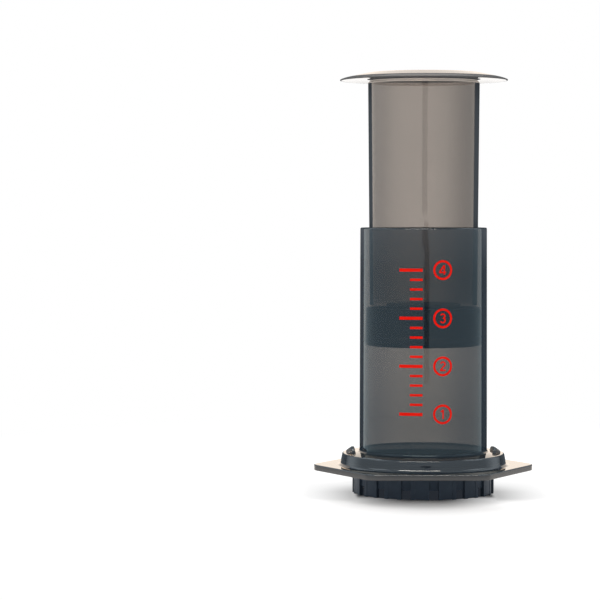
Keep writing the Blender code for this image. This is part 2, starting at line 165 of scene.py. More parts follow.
def skin_mesh(name, rings, closed, slots=None, poles=False):
    """Join rings of points into one surface.

    slots gives the material slot of each band between two rings, as a number or as one number a column.
    With closed, the last ring joins the first. With poles, the first and last rings close onto the axis.
    """
    count = len(rings)
    columns = len(rings[0])
    verts = list(np.concatenate(rings))
    index = np.arange(count * columns).reshape(count, columns)
    following = np.roll(index, -1, axis=1)
    faces = []
    tags = []
    for band in range(count if closed else count - 1):
        below = (band + 1) % count
        quads = np.stack([index[band], index[below], following[below], following[band]], axis=1)
        faces += quads.tolist()
        slot = slots[band] if slots else 0
        tags += list(slot) if isinstance(slot, np.ndarray) else [slot] * columns
    if poles:
        for edge, last in ((0, False), (count - 1, True)):
            verts.append((0.0, 0.0, np.mean(rings[edge], axis=0)[2]))
            pole = len(verts) - 1
            for here, there in zip(index[edge].tolist(), following[edge].tolist()):
                faces.append([there, here, pole] if last else [here, there, pole])
                tags.append(slots[-1 if last else 0] if slots else 0)
    mesh = bpy.data.meshes.new(name)
    mesh.from_pydata([tuple(v) for v in verts], [], [tuple(f) for f in faces])
    mesh.polygons.foreach_set("material_index", np.asarray(tags, np.int32))
    mesh.validate()
    smooth(mesh)
    return mesh


def skin(name, rings, closed, slots=None, poles=False):
    return placed(name, skin_mesh(name, rings, closed, slots, poles))


def even_angles(columns):
    return np.radians(np.arange(columns) * 360.0 / columns)


def turned(name, profile, columns, slots=None):
    """A piece turned about Z, from a profile that starts and ends near the axis."""
    angles = even_angles(columns)
    return skin(name, [ring(r, z, angles) for r, z in profile], False, slots, poles=True)


# Clear chamber

def chamber_columns():
    """Nominal directions of the chamber's columns, closer together at the ears, the lugs and the corners."""
    least_gap = 0.07
    wanted = list(np.arange(0.0, 360.0, 1.5))
    for axis in (0.0, 180.0):
        for y in (*EAR_STEPS_Y, EAR_CLEAR_Y):
            turn = math.degrees(math.asin(y / EAR_REFERENCE_R))
            wanted += [axis + turn, axis - turn]
    for lug in LUGS_DEG:
        stop = lug + STOP_AFTER_LUG_DEG
        for side in (-1, 1):
            wanted += [lug + side * (LUG_HALF_DEG + shift) for shift in (0, LUG_WALL_DEG)]
            wanted += [stop + side * (STOP_HALF_DEG + shift * LUG_WALL_DEG) for shift in (-0.5, 0.5)]
    for corner in range(0, 360, 60):
        for turn in (0.8, 1.6, 2.4, 3.2, 4.0, 4.81):
            wanted += [corner + turn, corner - turn]
    kept = []
    for turn in sorted(set(round(w % 360.0, 4) for w in wanted)):
        if not kept or turn - kept[-1] > least_gap:
            kept.append(turn)
    return np.array(kept)


def sheared(nominal, radius):
    """Directions of the columns at a radius, so that the columns near the X axis keep their Y."""
    turn = np.radians(nominal)
    away = np.arcsin(np.sin(turn))
    near = math.asin(EAR_CLEAR_Y / EAR_REFERENCE_R)
    far = math.radians(EAR_BLEND_DEG)
    size = np.abs(away)
    share = np.clip((size - near) / (far - near), 0, 1)
    fade = 1 - share * share * (3 - 2 * share)
    limited = np.minimum(size, near)
    shift = np.arcsin(EAR_REFERENCE_R * np.sin(limited) / radius) - limited
    angle = (size + shift * fade) * np.sign(away)
    return np.where(np.cos(turn) >= 0, angle, math.pi - angle)


def hexagon(nominal, inset):
    """Radius of the six-sided flange's round-cornered outline, drawn in by an inset."""
    half_corner = math.radians(30)
    apothem = FLANGE_APOTHEM - inset
    corner = FLANGE_CORNER_R - inset
    middle = (FLANGE_APOTHEM - FLANGE_CORNER_R) / math.cos(half_corner)
    away = np.radians(np.abs((nominal + 30.0) % 60.0 - 30.0))
    flat = apothem / np.cos(half_corner - away)
    rounded = middle * np.cos(away) + np.sqrt(np.maximum(corner ** 2 - (middle * np.sin(away)) ** 2, 0))
    edge = math.atan2(corner * 0.5, middle + corner * math.cos(half_corner))
    return np.where(away < edge, rounded, flat)


def within(nominal, half_deg, turns):
    """1 in the sectors round some directions, their edges included, and 0 elsewhere."""
    slack = 0.01
    found = np.zeros(nominal.shape)
    for turn in turns:
        away = np.abs((nominal - turn + 180.0) % 360.0 - 180.0)
        found = np.maximum(found, away <= half_deg + slack)
    return found


def deck_height(radius):
    share = (radius - DECK_SLOPE_IN_R) / (DECK_SLOPE_OUT_R - DECK_SLOPE_IN_R)
    return DECK_ROOT_Z + (DECK_OUTER_Z - DECK_ROOT_Z) * share


def deck_rows(nominal, deck_slot, crest_slot, flank_slot):
    """Rows across the deck, which rise over the two ears, and the slots of the bands between them."""
    lift = np.interp(np.abs(EAR_REFERENCE_R * np.sin(np.radians(nominal))), EAR_STEPS_Y, EAR_STEPS_LIFT)
    raised = np.maximum(lift, np.roll(lift, -1)) > 0
    rows = []
    slots = []

    def plain_rows(radii):
        for radius in radii:
            rows.append(ring(radius, deck_height(radius), sheared(nominal, radius)))
            slots.append(deck_slot)

    plain_rows((33.12, 33.30, 34.2, 34.55))
    for radius, height in EAR_PROFILE:
        deck = deck_height(radius)
        rows.append(ring(radius, deck + (height - deck) * lift, sheared(nominal, radius)))
        own = crest_slot if EAR_CREST_R[0] < radius < EAR_CREST_R[1] else flank_slot
        slots.append(np.where(raised, own, deck_slot))
    plain_rows((38.62, 38.9, 39.6, 39.8))
    return rows, slots


def make_chamber():
    """One closed skin: outer wall, deck with its ears, collar, flange, recess, spigot with its lugs, bore."""
    wall, flange, bore, edge, deck, ear, foot = range(7)
    nominal = chamber_columns()
    plain = np.radians(nominal)
    lugs = within(nominal, LUG_HALF_DEG, LUGS_DEG)
    stops = within(nominal, STOP_HALF_DEG, [lug + STOP_AFTER_LUG_DEG for lug in LUGS_DEG])
    front_or_back = np.abs(np.sin(plain)) > SIDES_END_SINE
    rings = []
    slots = []

    def put(rows, slot):
        rings.extend(rows)
        slots.extend([slot] * len(rows))

    def turn(points, slot):
        put([ring(r, z, plain) for r, z in points], slot)

    rim = arc((RIM_R - RIM_ROUND, RIM_Z - RIM_ROUND), RIM_ROUND, 90, 0, 6)
    turn(rim[:-1], flange)
    turn([rim[-1], (RIM_R, WALL_TOP_Z), (31.61, 110.0), (31.69, 80.0), (31.77, 50.0), (31.845, 22.1)], wall)

    # painted shade: the fillets at the tube's and the collar's foot are dark in front and behind, and pale at
    # the sides, where they take the deck's stronger gloss
    fillet = arc((FOOT_R + TUBE_FILLET, TUBE_FOOT_Z), TUBE_FILLET, 180, 270, 8)
    turn(fillet[:3], foot)
    turn(fillet[3:], np.where(front_or_back, foot, deck))
    rows, row_slots = deck_rows(nominal, deck, flange, ear)
    rings.extend(rows)
    slots.extend(row_slots)
    turn(arc(*COLLAR_TOP, 80, 11, 6), flange)
    fillet = arc(*COLLAR_FOOT, 170, 270, 10)
    turn(fillet[:4], flange)
    turn(fillet[4:], np.where(front_or_back, flange, deck))
    turn([(43.4, FLANGE_TOP_Z)], deck)

    for inset, height, slot in (
        (0.9, FLANGE_TOP_Z, deck), (0.4, FLANGE_TOP_Z, flange), (0.2, 13.846, flange), (0.054, 13.7, flange),
        (0.0, 13.5, edge), (0.0, 13.3, edge), (0.0, 11.6, edge), (0.0, 11.4, edge), (0.054, 11.2, edge),
        (0.2, 11.054, flange), (0.4, FLANGE_Z, flange), (0.9, FLANGE_Z, flange),
    ):
        put([ring(hexagon(nominal, inset), height, plain)], slot)
    turn(RECESS, flange)

    def raised(low_r, high_r, where):
        return low_r + (high_r - low_r) * where

    above = raised(RECESS_IN_R, STOP_R, stops)
    beside = raised(SPIGOT_R, STOP_R, stops)
    at_lugs = raised(SPIGOT_R, LUG_R, np.maximum(lugs, stops * STOP_SHARE_OF_LUG))
    for radius, height in (
        (RECESS_IN_R, 12.82), (above, 12.8), (above, 11.02), (beside, 11.0), (beside, 10.52),
        (at_lugs, 10.5), (at_lugs, 8.5), (SPIGOT_R, 8.48), (SPIGOT_R, 7.85),
    ):
        put([ring(radius, height, plain)], flange)
    turn(arc((31.25, 7.7), 0.4, 0, -90, 4), flange)
    turn([(31.0, CHAMBER_Z), (30.0, CHAMBER_Z), (29.86, 7.34)], flange)
    turn([(BORE_R, height) for height in (7.5, 8.0, 50.0, 90.0, WALL_TOP_Z)], bore)
    turn(arc((BORE_R + RIM_ROUND, RIM_Z - RIM_ROUND), RIM_ROUND, 180, 96, 5), flange)
    return skin("chamber_clear", rings, True, slots)


# Clear plunger

def make_plunger():
    """One skin: the hollow from its floor up, over the drooping flange, and down the outside to the knob."""
    wall, top, bore, dark, under, lip, step = range(7)
    sections = (
        # the hollow
        ([(6.0, 80.5), (17.7, 80.5), (18.26, 80.74), (18.5, 81.3)], dark),
        ([(18.5, 94.4), (18.62, 94.86), (19.0, 95.15), (24.0, 96.7), (24.5, 96.98)], step),
        ([(24.76, 97.5), (24.78, 98.2), (25.05, 128.0), (25.4, 168.0)], bore),
        # the flange, from the mouth to the rim and back
        ([(25.74, 208.0)], top),
        (arc((26.75, 208.5), 1.0, 180, 97, 7), top),
        ([(26.75, 209.50), (27.80, 209.40), (28.85, 209.20), (30.40, 208.87), (32.00, 208.50)], top),
        ([(34.60, 207.95)], top),
        # painted shade: the flange's outer band and rounded edge, and the underside by the neck below, are a
        # dark, nearly opaque copy of the plastic
        ([(37.25, 207.39), (38.50, 207.11), (39.65, 206.80), (40.40, 206.56), (41.00, 206.32)], dark),
        ([(41.45, 206.08)], dark),
        (arc((41.45, 205.79), 0.29, 75, -90, 6), dark),
        ([(41.1, 205.5), (40.55, 205.52), (38.0, 205.68), (32.0, 205.98)], under),
        ([(28.2, 206.18), (27.5, 206.16), (27.05, 206.0), (26.75, 205.8)], dark),
        # painted light: the neck and the round below it are a pale, nearly opaque copy of the plastic
        ([(26.75, 205.5), (26.75, 205.1)], lip),
        (arc((26.75, 204.1), 1.0, 84, 12, 6), lip),
        # the outside, the groove that the seal grips and the knob
        ([(27.75, 204.1), (27.745, 203.7), (27.5, 176.0), (27.15, 136.0)], wall),
        ([(26.77, 93.9), (26.76, 93.3), (26.6, 93.02), (26.3, 92.9), (20.7, 92.9)], step),
        ([(20.5, 92.7), (20.5, 84.7), (20.7, 84.5), (23.2, 84.5), (23.44, 84.4), (23.5, 84.15)], dark),
        ([(23.5, 79.9)], dark),
        (arc((22.3, 79.7), 1.2, 0, -90, 6), dark),
        ([(21.0, 78.5), (6.0, 78.5)], dark),
    )
    profile = [point for points, slot in sections for point in points]
    slots = [slot for points, slot in sections for point in points]
    return turned("plunger_clear", profile, columns=240, slots=slots)


# Rubber seal

def make_seal():
    """Plug with a pocket for the plunger's knob, and a lip that runs in the bore."""
    profile = [(6.0, 78.2), (23.3, 78.2), (23.65, 78.35), (23.8, 78.7), (23.8, 84.5), (23.65, 84.75)]
    profile += [(23.3, 84.8), (21.0, 84.8), (20.85, 84.95), (20.8, 85.2), (20.8, 92.2), (20.9, 92.5)]
    profile += [(21.1, 92.6), (26.2, 92.6)]
    profile += arc((27.6, 91.6), 1.0, 90, 6, 6)
    profile += [(28.62, 91.2), (29.05, 80.0), (29.08, 79.1), (29.14, 78.75), (29.45, 78.2), (29.7, 77.9)]
    profile += [(29.75, 77.6), (29.75, 76.3), (29.7, 75.7), (29.5, 75.05), (29.1, 74.45), (28.5, 74.0)]
    profile += [(27.8, 73.7), (27.1, 73.6), (6.0, 73.6)]
    return turned("seal_rubber", profile, columns=220)


# Black cap

def prism(shape, middle_deg, span_deg, inner, outer, bottom, top, steps, edge):
    """Add a piece of a ring, with its edges rounded by edge, to a bmesh."""
    before = set(shape.verts)
    turns = [math.radians(middle_deg + span_deg * (i / steps - 0.5)) for i in range(steps + 1)]

    def corner(radius, turn):
        return shape.verts.new((radius * MM * math.cos(turn), radius * MM * math.sin(turn), bottom * MM))

    lower = [corner(outer, turn) for turn in turns] + [corner(inner, turn) for turn in turns[::-1]]
    upper = [shape.verts.new(v.co + Vector((0, 0, (top - bottom) * MM))) for v in lower]
    shape.faces.new(lower[::-1])
    shape.faces.new(upper)
    for i, low in enumerate(lower):
        j = (i + 1) % len(lower)
        shape.faces.new((low, lower[j], upper[j], upper[i]))
    made = [v for v in shape.verts if v not in before]
    edges = {e for v in made for e in v.link_edges if e.calc_face_angle(0) > math.radians(BEVEL_OVER_DEG)}
    bmesh.ops.bevel(shape, geom=list(edges), offset=edge * MM, segments=2, profile=0.5, affect="EDGES")


def perforated_floor():
    """Round plate with holes on a triangular grid."""
    curve = bpy.data.curves.new("cap_floor", "CURVE")
    curve.dimensions = "2D"
    curve.fill_mode = "BOTH"
    curve.extrude = (CAP_FLOOR_HALF - CAP_FLOOR_EDGE) * MM
    curve.bevel_depth = CAP_FLOOR_EDGE * MM
    curve.bevel_resolution = 1
    curve.offset = -CAP_FLOOR_EDGE * MM

    def circle(x, y, radius, count):
        line = curve.splines.new("POLY")
        line.points.add(count - 1)
        for i, point in enumerate(line.points):
            turn = math.tau * i / count
            point.co = ((x + radius * math.cos(turn)) * MM, (y + radius * math.sin(turn)) * MM, 0, 1)
        line.use_cyclic_u = True

    circle(0, 0, CAP_FLOOR_R, 128)
    for row in range(-6, 7):
        for column in range(-12, 13):
            x, y = (column + row / 2) * HOLE_PITCH, row * HOLE_PITCH * math.sin(math.radians(60))
            if math.hypot(x, y) <= HOLE_FIELD_R:
                circle(x, y, HOLE_R, 20)
    flat = placed("cap_floor", curve)
    bpy.context.view_layer.update()
    mesh = bpy.data.meshes.new_from_object(flat.evaluated_get(bpy.context.evaluated_depsgraph_get()))
    bpy.data.objects.remove(flat, do_unlink=True)
    mesh.transform(Matrix.Translation((0, 0, CAP_FLOOR_MIDDLE_Z * MM)))
    return mesh


def make_cap():
    """Cup wall, perforated floor, grips with ribs at their ends, and the lugs inside, as one mesh."""
    shape = bmesh.new()
    angles = even_angles(192)
    shape.from_mesh(skin_mesh("cap_wall", [ring(r, z, angles) for r, z in CAP_WALL], True))
    shape.from_mesh(perforated_floor())
    for index in range(GRIPS):
        middle = GRIP_FIRST_DEG + index * 360.0 / GRIPS
        prism(shape, middle, GRIP_SPAN_DEG, inner=33.65, outer=35.25, bottom=0.5, top=15.0, steps=8, edge=0.2)
        for side in (-1, 1):
            rib = middle + side * RIB_FROM_GRIP_DEG
            prism(shape, rib, RIB_SPAN_DEG, inner=33.5, outer=35.4, bottom=0.0, top=15.15, steps=3, edge=0.22)
    for lug in LUGS_DEG:
        prism(shape, lug, 2 * LUG_HALF_DEG, inner=32.2, outer=33.9, bottom=10.8, top=12.8, steps=12, edge=0.2)
    mesh = finished("cap_shell", shape)
    smooth(mesh)
    return placed("cap_shell", mesh)


def make_paper():
    """Paper disc, faintly cockled, with a crisp cut edge."""
    angles = even_angles(144)
    radii = (4.0, 10.0, 16.0, 22.0, 27.0, 31.0, 31.98)
    rings = []
    for height, row_radii in ((PAPER_TOP_Z, radii), (PAPER_UNDER_Z, radii[::-1])):
        for radius in row_radii:
            wave = PAPER_WAVE * np.sin(angles * 5 + radius * 0.3) * (radius / PAPER_R)
            rings.append(ring(radius, height + wave, angles))
    return skin("filter_paper", rings, False, poles=True)


# Red marks on the chamber's wall, in millimetres

LEVELS = ((4, 112.0), (3, 88.5), (2, 65.05), (1, 41.6))
MARK_AZIMUTH = 14.45
TICK_AZIMUTH = -3.6
CIRCLE_R = 4.3
CIRCLE_WIDTH = 1.04
CIRCLE_STEPS = 72
DIGIT_WIDTH = 0.70
TICKS = 16
TICKS_A_LEVEL = 5
LONG_TICK = (11.6, 1.5)  # length and width
SHORT_TICK = (6.2, 1.15)
PRINT_THICKNESS = 0.03
PRINT_LIFT = 0.012
PRINT_LAYER = 0.02
CUT_STEP = 0.5
DIGITS = {
    1: [[(-0.95, 1.25), (0.36, 2.1)], [(0.18, 2.3), (0.18, -2.2)]],
    2: [bow((0.0, 1.05), (1.15, 1.05), 165, -30) + [(-1.12, -1.85)], [(-1.4, -1.95), (1.4, -1.95)]],
    3: [bow((-0.05, 1.08), (1.05, 1.0), 155, -80), bow((-0.05, -0.98), (1.2, 1.1), 85, -155)],
    4: [[(0.72, -2.2), (0.72, 2.35)], [(0.66, 2.3), (-1.75, -0.95)], [(-1.95, -1.08), (1.6, -1.08)]],
}


def wall_radius(height):
    return FOOT_R + (RIM_R - FOOT_R) * (height - TUBE_FOOT_Z) / (RIM_Z - RIM_ROUND - TUBE_FOOT_Z)


def wrapped(name, mesh, azimuth_deg, height):
    """Wrap a flat mesh, drawn in X and Y, round the chamber's outer wall."""
    shape = bmesh.new()
    shape.from_mesh(mesh)
    cut = min(v.co.x for v in shape.verts) / MM + CUT_STEP / 2
    last = max(v.co.x for v in shape.verts) / MM
    while cut < last:
        geom = shape.verts[:] + shape.edges[:] + shape.faces[:]
        bmesh.ops.bisect_plane(shape, geom=geom, plane_co=(cut * MM, 0, 0), plane_no=(1, 0, 0))
        cut += CUT_STEP
    for vert in shape.verts:
        x, y, z = (c / MM for c in vert.co)
        radius = wall_radius(height + y) + PRINT_LIFT + max(z, 0.0)
        turn = math.radians(azimuth_deg) + x / wall_radius(height)
        vert.co = Vector((radius * math.sin(turn), -radius * math.cos(turn), height + y)) * MM
    return placed(name, finished(name, shape))


def stroke(points, width):
    """Mesh of a thin flat band along a line in X and Y, closed if the line ends where it starts."""
    closed = points[0] == points[-1]
    line = points[:-1] if closed else points
    total = len(line)
    verts = []
    for i, (x, y) in enumerate(line):
        before = line[i - 1] if closed or i else line[i]
        after = line[(i + 1) % total] if closed or i < total - 1 else line[i]
        dx, dy = after[0] - before[0], after[1] - before[1]
        size = math.hypot(dx, dy)
        nx, ny = -dy / size * width / 2, dx / size * width / 2
        for z in (0.0, PRINT_THICKNESS):
            verts += [((x + nx) * MM, (y + ny) * MM, z * MM), ((x - nx) * MM, (y - ny) * MM, z * MM)]
    faces = []
    for i in range(total if closed else total - 1):
        a, b = 4 * i, 4 * ((i + 1) % total)
        faces += [(a + 2, a + 3, b + 3, b + 2), (a + 1, a, b, b + 1)]
        faces += [(a, a + 2, b + 2, b), (a + 3, a + 1, b + 1, b + 3)]
    if not closed:
        b = 4 * (total - 1)
        faces += [(0, 1, 3, 2), (b + 1, b, b + 2, b + 3)]
    mesh = bpy.data.meshes.new("stroke")
    mesh.from_pydata(verts, [], faces)
    return mesh


def join_flat(meshes):
    """Put several flat strokes into one mesh, each a hair above the last so that crossings stay clean."""
    shape = bmesh.new()
    for level, mesh in enumerate(meshes):
        before = len(shape.verts)
        shape.from_mesh(mesh)
        shape.verts.ensure_lookup_table()
        for vert in shape.verts[before:]:
            vert.co.z += level * PRINT_LAYER * MM
    return finished("strokes", shape)


def make_marks():
    """Four numbers in circles, and a scale beside them with a long stroke at each number's height."""
    turns = [math.tau * i / CIRCLE_STEPS for i in range(CIRCLE_STEPS)]
    circle = [(CIRCLE_R * math.cos(turn), CIRCLE_R * math.sin(turn)) for turn in turns]
    pieces = []
    for number, height in LEVELS:
        strokes = [stroke(circle + [circle[0]], CIRCLE_WIDTH)]
        strokes += [stroke(points, DIGIT_WIDTH) for points in DIGITS[number]]
        pieces.append(wrapped(f"mark_{number}", join_flat(strokes), MARK_AZIMUTH, height))
    low, high = LEVELS[-1][1], LEVELS[0][1]
    for step in range(TICKS):
        height = low + (high - low) * step / (TICKS - 1)
        length, width = SHORT_TICK if step % TICKS_A_LEVEL else LONG_TICK
        tick = stroke([(-length, 0.0), (0.0, 0.0)], width)
        pieces.append(wrapped(f"tick_{step + 1}", tick, TICK_AZIMUTH, height))
    return pieces


# Nodes

WHITE = (1.0, 1.0, 1.0, 1.0)
NOISE_RANGE = (0.3, 0.7)


def feed(tree, made, inputs):
    """Give a node's inputs, by name or number, a value of their own or a link from another node."""
    for key, value in inputs.items():
        if isinstance(value, bpy.types.NodeSocket):
            tree.links.new(value, made.inputs[key])
        else:
            made.inputs[key].default_value = value


def node(tree, kind, inputs=None, **settings):
    made = tree.nodes.new(kind)
    for key, value in settings.items():
        setattr(made, key, value)
    feed(tree, made, inputs or {})
    return made


def calculate(tree, operation, *values, clamp=False):
    """A math node on sockets or numbers."""
    made = node(tree, "ShaderNodeMath", dict(enumerate(values)), operation=operation, use_clamp=clamp)
    return made.outputs[0]


def spread(tree, value, low, high, start=0.0, end=1.0, smoothly=False):
    """Map a value from start..end to low..high."""
    limits = {"From Min": start, "From Max": end, "To Min": low, "To Max": high}
    kind = "SMOOTHSTEP" if smoothly else "LINEAR"
    change = node(tree, "ShaderNodeMapRange", {"Value": value, **limits}, interpolation_type=kind)
    return change.outputs["Result"]


def mix_colors(tree, factor, first, second):
    inputs = {"Factor": factor, 6: (*first, 1.0), 7: (*second, 1.0)}
    return node(tree, "ShaderNodeMix", inputs, data_type="RGBA").outputs[2]


def mix_shaders(tree, factor, first, second):
    return node(tree, "ShaderNodeMixShader", {"Fac": factor, 1: first, 2: second}).outputs["Shader"]


def place_on(tree):
    """Place on the object, in metres."""
    return node(tree, "ShaderNodeTexCoord").outputs["Object"]


def place_along(tree, axis):
    return node(tree, "ShaderNodeSeparateXYZ", {0: place_on(tree)}).outputs[axis]


def noise(tree, scale, detail, stretch=(1, 1, 1)):
    """Noise on the object's own coordinates, in cycles a metre."""
    mapping = node(tree, "ShaderNodeMapping", {"Scale": stretch, "Vector": place_on(tree)})
    inputs = {"Scale": scale, "Detail": detail, "Vector": mapping.outputs["Vector"]}
    return node(tree, "ShaderNodeTexNoise", inputs).outputs["Fac"]


def add_bump(tree, shaders, height, strength, distance):
    bump = node(tree, "ShaderNodeBump", {"Strength": strength, "Distance": distance, "Height": height})
    for shader in shaders:
        tree.links.new(bump.outputs["Normal"], shader.inputs["Normal"])


def schlick(tree, facing, head_on):
    """Share of a surface's gloss, from head on to edge on."""
    return spread(tree, calculate(tree, "POWER", facing, 5.0), head_on, 1.0)


def new_material(name):
    material = bpy.data.materials.new(name)
    material.use_nodes = True
    tree = material.node_tree
    return material, tree, tree.nodes["Principled BSDF"]


# Materials

WARM = (1.0, 0.93, 0.86)
COOL = (0.62, 0.88, 1.0)
NAVY = (0.034, 0.046, 0.060)
HAZE = (0.045, 0.082, 0.125)
BROWN = (0.069, 0.080, 0.092)
# painted shade: the clear plastic darkens towards +X
PAINTED_SHADE_LEAN = (1.1, 3.5)
LEAN_REACH = 0.03


def smoke(name, tint, body, cover, gloss, shine=WARM, roughness=0.05, head_on=0.05,
          lean=None, foot=None, low_body=None):
    """Clear smoke plastic: what is behind it is dimmed, more so where a face is seen edge on.

    tint is pairs of how far a face is turned from the eye, 0 head on and 1 edge on, and the tint there.
    body is the plastic's own colour, and cover is pairs that say how much of it hides what is behind.
    gloss is pairs that weaken or strengthen the reflections, up to 2. shine is their colour, and head_on
    is their share head on.
    lean is how much sooner the edge starts and how much the tint loses, for each metre towards +X: painted
    shade on that side.
    foot is a height, a height above it and how much the tint keeps at the first: painted shade towards the
    foot, where the wall is also thicker.
    low_body is two heights and the body's colour at the lower one.
    """
    material, tree, shader = new_material(name)
    facing = node(tree, "ShaderNodeLayerWeight", {"Blend": 0.5}).outputs["Facing"]
    turned_away = facing
    # painted shade: the dark edge starts sooner towards +X
    if lean:
        turned_away = calculate(tree, "MULTIPLY_ADD", place_along(tree, "X"), lean[0], facing)

    def ramp(pairs, scale=1.0):
        steps = node(tree, "ShaderNodeValToRGB", {"Fac": turned_away})
        elements = steps.color_ramp.elements
        while len(elements) < len(pairs):
            elements.new(0.5)
        for element, (place, value) in zip(elements, pairs):
            color = value if isinstance(value, tuple) else (value, value, value)
            element.position = place
            element.color = (*(c * scale for c in color), 1.0)
        return steps.outputs["Color"]

    # faint streaks run up the moulding
    flow = noise(tree, scale=45.0, detail=3.0, stretch=(1, 1, 0.15))
    kept = spread(tree, flow, 0.965, 1.0, *NOISE_RANGE)
    # painted shade: the tint darkens towards +X
    if lean:
        loss = LEAN_REACH * lean[1]
        across = spread(tree, place_along(tree, "X"), 1.0 + loss, 1.0 - loss, -LEAN_REACH, LEAN_REACH)
        kept = calculate(tree, "MULTIPLY", kept, across)
    # painted shade: the tint darkens towards the foot
    if foot:
        low, high, share = foot
        upward = spread(tree, place_along(tree, "Z"), share, 1.0, low, high, smoothly=True)
        kept = calculate(tree, "MULTIPLY", kept, upward)
    inputs = {"Factor": 1.0, 6: ramp(tint), 7: kept}
    dimmed = node(tree, "ShaderNodeMix", inputs, data_type="RGBA", blend_type="MULTIPLY")
    through = node(tree, "ShaderNodeBsdfTransparent", {"Color": dimmed.outputs[2]})
    plastic = mix_shaders(tree, ramp(cover), through.outputs["BSDF"], shader.outputs["BSDF"])

    # the gloss ramp holds half its values, because a ramp's colours end at 1
    grain = noise(tree, scale=260.0, detail=4.0)
    rough = spread(tree, grain, roughness * 0.8, roughness * 1.3, *NOISE_RANGE)
    glossy = node(tree, "ShaderNodeBsdfGlossy", {"Color": (*shine, 1.0), "Roughness": rough})
    half = calculate(tree, "MULTIPLY", schlick(tree, facing, head_on), ramp(gloss, 0.5))
    strength = calculate(tree, "MULTIPLY", half, 2.0, clamp=True)
    coat = mix_shaders(tree, strength, plastic, glossy.outputs["BSDF"])
    tree.links.new(coat, tree.nodes["Material Output"].inputs["Surface"])

    feed(tree, shader, {"Base Color": (*body, 1.0), "Specular IOR Level": 0.0, "Roughness": rough})
    if low_body:
        low, high, color = low_body
        shade = mix_colors(tree, spread(tree, place_along(tree, "Z"), 0.0, 1.0, low, high), color, body)
        tree.links.new(shade, shader.inputs["Base Color"])
    ripple = noise(tree, scale=90.0, detail=2.0, stretch=(1, 1, 0.3))
    add_bump(tree, (shader, glossy), ripple, strength=0.03, distance=0.0004)
    return material


def solid(name, first, second, rough, grain_scale, bump, specular):
    """Opaque plastic, rubber, paper or print with a fine grain."""
    material, tree, shader = new_material(name)
    patches = noise(tree, grain_scale * 0.12, detail=3.0)
    grain = noise(tree, grain_scale, detail=5.0)
    feed(tree, shader, {
        "Base Color": mix_colors(tree, spread(tree, patches, 0.0, 1.0, 0.35, 0.65), first, second),
        "Roughness": spread(tree, grain, *rough, *NOISE_RANGE),
        "Specular IOR Level": specular,
    })
    add_bump(tree, (shader,), grain, bump, distance=0.0002)
    return material


def grey(level):
    return (level, level, level)


def chamber_looks():
    """The chamber's materials, in the order of its slots."""
    dim = [(0.0, grey(0.50)), (1.0, (0.35, 0.36, 0.37))]
    wall = smoke(
        "smoke_wall",
        tint=[(0.0, (0.583, 0.549, 0.515)), (0.25, (0.519, 0.494, 0.479)), (0.56, (0.555, 0.525, 0.50)),
              (0.61, (0.555, 0.525, 0.50)), (0.642, (0.24, 0.22, 0.20))],
        body=(0.16, 0.20, 0.25), cover=[(0.0, 0.17), (0.61, 0.20), (0.642, 0.40)],
        gloss=[(0.0, 1.0), (0.61, 1.0), (0.642, 0.0)], shine=COOL, roughness=0.03, head_on=0.030,
        lean=PAINTED_SHADE_LEAN, foot=(0.024, 0.066, 0.86), low_body=(0.110, 0.133, HAZE))
    flange = smoke(
        "smoke_flange", tint=dim, body=(0.024, 0.034, 0.046), cover=[(0.0, 0.80), (0.7, 0.82), (0.85, 0.96)],
        gloss=[(0.0, 1.0), (0.34, 1.0), (0.47, 1.7), (0.54, 1.4), (0.66, 0.12), (1.0, 0.10)],
        shine=(0.84, 0.94, 1.0), head_on=0.042)
    bore = smoke(
        "smoke_bore", tint=[(0.0, (0.80, 0.785, 0.77)), (0.60, (0.76, 0.75, 0.74)), (1.0, grey(0.60))],
        body=NAVY, cover=[(0.0, 0.06), (1.0, 0.12)],
        gloss=[(0.0, 0.15), (0.62, 0.35), (0.76, 1.1), (1.0, 1.1)])
    # painted light: the flange's side band is lighter towards its lower edge
    edge = smoke(
        "smoke_edge", tint=dim, body=(0.030, 0.037, 0.045), cover=[(0.0, 0.88), (1.0, 0.88)],
        gloss=[(0.0, 1.0), (1.0, 1.0)], head_on=0.035, low_body=(0.0113, 0.0138, (0.088, 0.092, 0.097)))
    deck = smoke(
        "smoke_deck", tint=dim, body=(0.022, 0.031, 0.042), cover=[(0.0, 0.80), (1.0, 0.85)],
        gloss=[(0.0, 1.0), (0.80, 1.0), (0.88, 1.6), (1.0, 1.6)], shine=(1.0, 0.88, 0.76), head_on=0.04)
    ear = smoke(
        "smoke_ear", tint=[(0.0, grey(0.55)), (1.0, (0.45, 0.46, 0.47))], body=(0.050, 0.058, 0.067),
        cover=[(0.0, 0.72), (1.0, 0.85)], gloss=[(0.0, 0.8), (0.6, 0.6), (0.85, 0.15), (1.0, 0.1)])
    # painted shade: a dark, nearly opaque copy of the plastic for the crease where the tube meets the deck
    foot = smoke(
        "smoke_foot_painted_shade", tint=[(0.0, grey(0.40)), (1.0, grey(0.30))], body=(0.024, 0.033, 0.044),
        cover=[(0.0, 0.88), (1.0, 0.95)], gloss=[(0.0, 0.4), (0.6, 0.2), (1.0, 0.1)], shine=COOL)
    return wall, flange, bore, edge, deck, ear, foot


